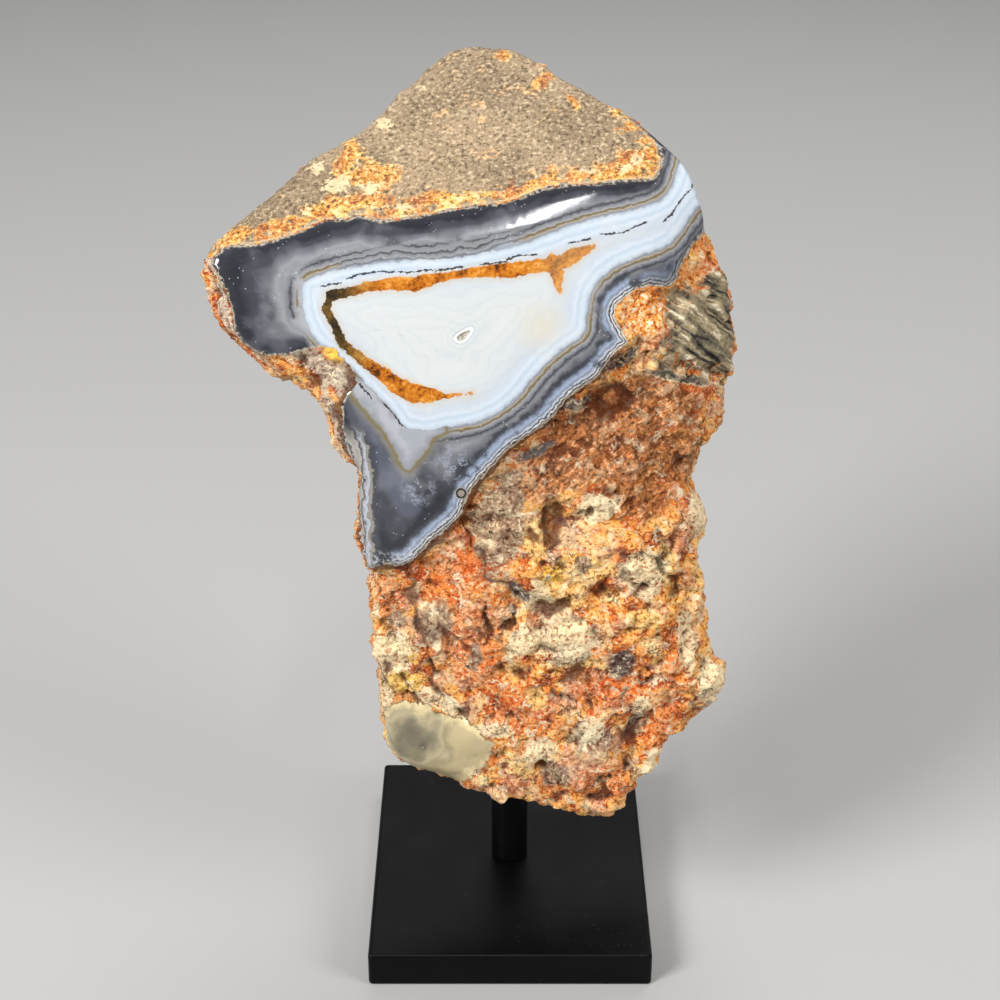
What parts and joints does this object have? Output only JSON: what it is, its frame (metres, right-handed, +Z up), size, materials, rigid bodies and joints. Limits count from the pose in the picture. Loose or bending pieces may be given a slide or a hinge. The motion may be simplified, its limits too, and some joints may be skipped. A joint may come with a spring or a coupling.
{
  "type": "brazilian agate on a post stand",
  "caption": "Banded agate nodule with a polished front face, a weathered top and broken rough sides, held upright on a slim black post and rectangular base plate.",
  "frame": {"origin": "centre of the base plate's underside, on the post's axis", "axes": "+Z up along the post; -Y towards the viewer of the polished face; +X to that viewer's right"},
  "size_m": [0.0807, 0.056, 0.1494],
  "materials": {
    "agate": "polished banded face, rough weathered crust elsewhere",
    "stand": "satin black"
  },
  "bodies": {
    "root": {"agate": "agate", "post": "stand", "base_plate": "stand"}
  },
  "joints": []
}
